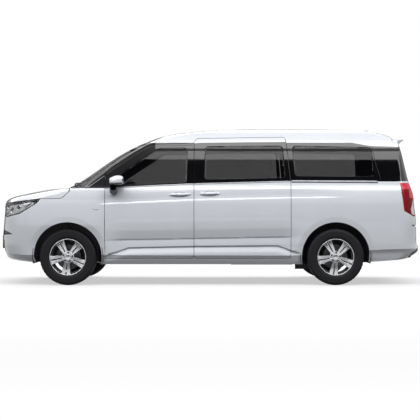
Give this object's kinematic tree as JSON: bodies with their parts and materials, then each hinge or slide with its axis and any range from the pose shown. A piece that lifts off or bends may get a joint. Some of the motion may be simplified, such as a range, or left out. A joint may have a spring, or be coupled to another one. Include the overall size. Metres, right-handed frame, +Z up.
{
  "type": "minivan",
  "caption": "Minivan with hinged front doors, sliding side doors, lifting tailgate and bonnet, steered front wheels and rows of seats.",
  "frame": {"origin": "on the ground under the middle of the car, half way along its length and width", "axes": "+Z up; the nose points to -X, so the left side of the car is -Y"},
  "size_m": [5.2, 2.26, 1.926],
  "materials": {
    "body_paint": "gloss",
    "dark_plastic": "matte",
    "chrome_trim": "polished",
    "tinted_glass": "gloss",
    "clear_glass": "gloss",
    "headlamp_lens": "gloss",
    "red_lens": "gloss",
    "alloy": "satin",
    "tyre_rubber": "matte",
    "underbody": "matte",
    "cast_metal": "matte",
    "exhaust_steel": "satin",
    "interior_plastic": "matte",
    "seat_leather": "satin"
  },
  "bodies": {
    "body": {"cowl": "dark_plastic", "dashboard": "interior_plastic", "engine_block": "cast_metal", "exhaust": "exhaust_steel", "fender_left": "body_paint", "fender_right": "body_paint", "floor_pan": "underbody", "front_bumper": "body_paint", "front_seats": "seat_leather", "front_subframe": "underbody", "fuel_tank": "underbody", "grille": "chrome_trim", "headlamps": "headlamp_lens", "middle_seats": "seat_leather", "quarter_glass": "tinted_glass", "rear_axle": "underbody", "rear_bench": "seat_leather", "rear_bumper": "body_paint", "roof_panel": "body_paint", "side_frame_left": "body_paint", "side_frame_right": "body_paint", "sliding_door_glass": "tinted_glass", "sliding_door_left": "body_paint", "sliding_door_right": "body_paint", "tail_lamps": "red_lens", "wheel_liner_left": "dark_plastic", "wheel_liner_right": "dark_plastic", "windscreen": "clear_glass"},
    "front_door_left": {"door_front_left": "body_paint", "door_glass_front_left": "tinted_glass", "mirror_left": "body_paint"},
    "front_door_right": {"door_front_right": "body_paint", "door_glass_front_right": "tinted_glass", "mirror_right": "body_paint"},
    "bonnet_lid": {"bonnet": "body_paint"},
    "tailgate_lid": {"tailgate": "body_paint", "tailgate_glass": "tinted_glass"},
    "steered_left": {"knuckle_left": "cast_metal"},
    "steered_right": {"knuckle_right": "cast_metal"},
    "wheel_front_left": {"rim_front_left": "alloy", "tyre_front_left": "tyre_rubber"},
    "wheel_front_right": {"rim_front_right": "alloy", "tyre_front_right": "tyre_rubber"},
    "wheel_rear_left": {"rim_rear_left": "alloy", "tyre_rear_left": "tyre_rubber"},
    "wheel_rear_right": {"rim_rear_right": "alloy", "tyre_rear_right": "tyre_rubber"},
    "steering": {"steering_wheel": "interior_plastic"}
  },
  "joints": [
    {"name": "front_door_left_hinge", "type": "hinge", "parent": "body", "child": "front_door_left", "pos_m": [-1.246, -0.979, 0.85], "axis": [0, 0, -1], "range_deg": [0, 65]},
    {"name": "front_door_right_hinge", "type": "hinge", "parent": "body", "child": "front_door_right", "pos_m": [-1.246, 0.979, 0.85], "axis": [0, 0, 1], "range_deg": [0, 65]},
    {"name": "bonnet_hinge", "type": "hinge", "parent": "body", "child": "bonnet_lid", "pos_m": [-1.648, 0, 1.147], "axis": [0, 1, 0], "range_deg": [0, 50]},
    {"name": "tailgate_hinge", "type": "hinge", "parent": "body", "child": "tailgate_lid", "pos_m": [2.206, 0, 1.797], "axis": [0, -1, 0], "range_deg": [0, 80]},
    {"name": "steer_left", "type": "hinge", "parent": "body", "child": "steered_left", "pos_m": [-1.68, -0.755, 0.2], "axis": [0, 0.1998, 0.9798], "range_deg": [-35, 35]},
    {"name": "steer_right", "type": "hinge", "parent": "body", "child": "steered_right", "pos_m": [-1.68, 0.755, 0.2], "axis": [0, -0.1998, 0.9798], "range_deg": [-35, 35]},
    {"name": "wheel_front_left_spin", "type": "hinge", "parent": "steered_left", "child": "wheel_front_left", "pos_m": [-1.68, -0.8375, 0.338], "axis": [0, -1, 0], "continuous": true},
    {"name": "wheel_front_right_spin", "type": "hinge", "parent": "steered_right", "child": "wheel_front_right", "pos_m": [-1.68, 0.8375, 0.338], "axis": [0, -1, 0], "continuous": true},
    {"name": "wheel_rear_left_spin", "type": "hinge", "parent": "body", "child": "wheel_rear_left", "pos_m": [1.52, -0.8375, 0.338], "axis": [0, -1, 0], "continuous": true},
    {"name": "wheel_rear_right_spin", "type": "hinge", "parent": "body", "child": "wheel_rear_right", "pos_m": [1.52, 0.8375, 0.338], "axis": [0, -1, 0], "continuous": true},
    {"name": "steering_wheel_turn", "type": "hinge", "parent": "body", "child": "steering", "pos_m": [-0.872, -0.4, 0.985], "axis": [0.8829, 0, 0.4695], "range_deg": [-500, 500]}
  ],
  "couplings": [
    {"joint": "steer_right", "follows": "steer_left", "ratio": 1},
    {"joint": "steering_wheel_turn", "follows": "steer_left", "ratio": 14.25}
  ]
}
